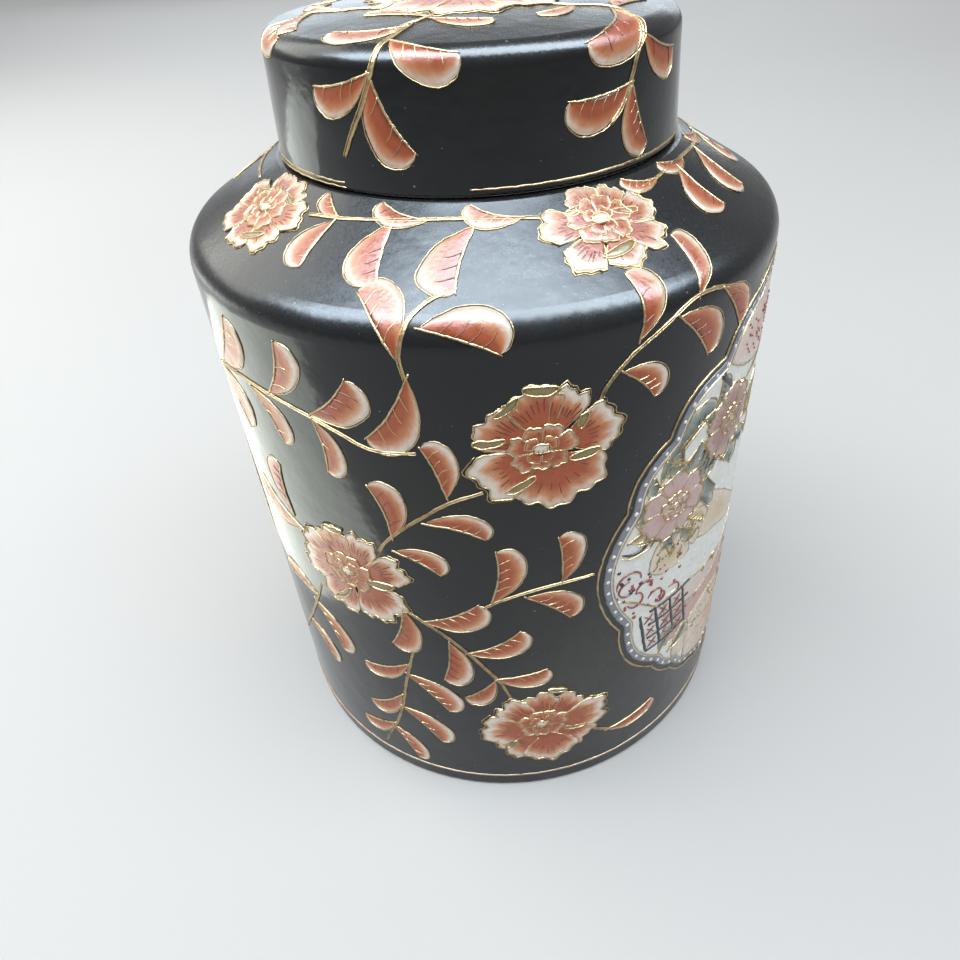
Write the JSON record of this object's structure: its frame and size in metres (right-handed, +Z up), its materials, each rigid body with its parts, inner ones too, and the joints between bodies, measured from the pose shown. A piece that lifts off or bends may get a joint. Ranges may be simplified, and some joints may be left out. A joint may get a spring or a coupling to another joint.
{
  "type": "ginger jar",
  "caption": "Straight-sided lidded storage jar with a sloping shoulder, upright neck and deep cap lid, black-glazed and flower-enamelled.",
  "frame": {"origin": "centre of the foot ring's standing face", "axes": "+Z up along the jar's axis of turning, -Y towards the front view"},
  "size_m": [0.183, 0.183, 0.254],
  "materials": {
    "black_glaze": "gloss",
    "gilding": "satin",
    "coral_enamel": "gloss",
    "ivory_enamel": "gloss",
    "lavender_enamel": "gloss",
    "mauve_enamel": "gloss",
    "green_enamel": "gloss"
  },
  "bodies": {
    "jar": {"jar_body": "black_glaze"},
    "lid": {"lid": "black_glaze"}
  },
  "joints": [
    {"name": "lid_lift", "type": "slide", "parent": "jar", "child": "lid", "axis": [0, 0, 1], "range_m": [0, 0.07]}
  ]
}
